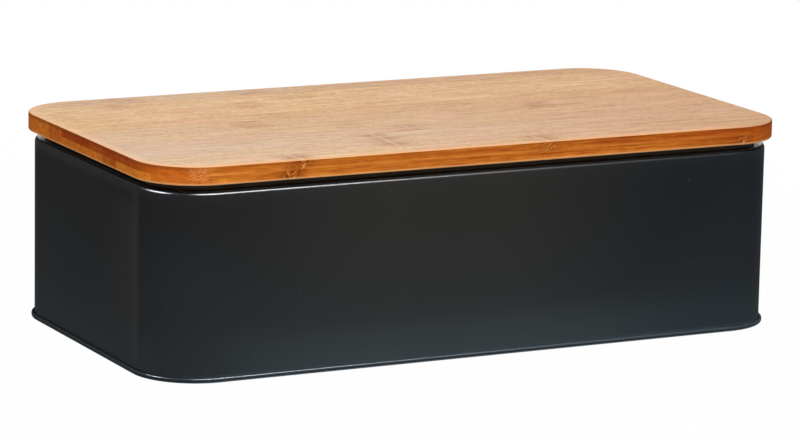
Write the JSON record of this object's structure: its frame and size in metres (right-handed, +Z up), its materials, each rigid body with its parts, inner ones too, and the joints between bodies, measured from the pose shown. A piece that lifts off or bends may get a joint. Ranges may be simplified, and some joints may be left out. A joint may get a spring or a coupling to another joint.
{
  "type": "bread box",
  "caption": "Rectangular sheet-steel bread box with rounded corners, a rolled bottom seam and a loose laminated bamboo board lid with a silicone seal.",
  "frame": {"origin": "centre of the footprint, on the plane the bottom seam stands on", "axes": "+X along the length of the box, -Y towards the front, +Z up"},
  "size_m": [0.425, 0.23, 0.128],
  "materials": {
    "black_coated_steel": "satin black powder coat",
    "bamboo": "sanded and oiled",
    "silicone": "matt"
  },
  "bodies": {
    "box": {"body_wall": "black_coated_steel", "bottom_panel": "black_coated_steel"},
    "lid": {"lid_top_strip_01": "bamboo", "lid_top_strip_02": "bamboo", "lid_top_strip_03": "bamboo", "lid_top_strip_04": "bamboo", "lid_top_strip_05": "bamboo", "lid_top_strip_06": "bamboo", "lid_top_strip_07": "bamboo", "lid_top_strip_08": "bamboo", "lid_top_strip_09": "bamboo", "lid_top_strip_10": "bamboo", "lid_top_strip_11": "bamboo", "lid_bottom_strip_01": "bamboo", "lid_bottom_strip_02": "bamboo", "lid_bottom_strip_03": "bamboo", "lid_bottom_strip_04": "bamboo", "lid_bottom_strip_05": "bamboo", "lid_bottom_strip_06": "bamboo", "lid_bottom_strip_07": "bamboo", "lid_bottom_strip_08": "bamboo", "lid_bottom_strip_09": "bamboo", "lid_bottom_strip_10": "bamboo", "lid_bottom_strip_11": "bamboo", "lid_plug_strip_01": "bamboo", "lid_plug_strip_02": "bamboo", "lid_plug_strip_03": "bamboo", "lid_plug_strip_04": "bamboo", "lid_plug_strip_05": "bamboo", "lid_plug_strip_06": "bamboo", "lid_plug_strip_07": "bamboo", "lid_plug_strip_08": "bamboo", "lid_plug_strip_09": "bamboo", "lid_plug_strip_10": "bamboo", "lid_plug_strip_11": "bamboo", "seal_ring": "silicone"}
  },
  "joints": [
    {"name": "lid_lift", "type": "slide", "parent": "box", "child": "lid", "axis": [0, 0, 1], "range_m": [0, 0.15]}
  ]
}
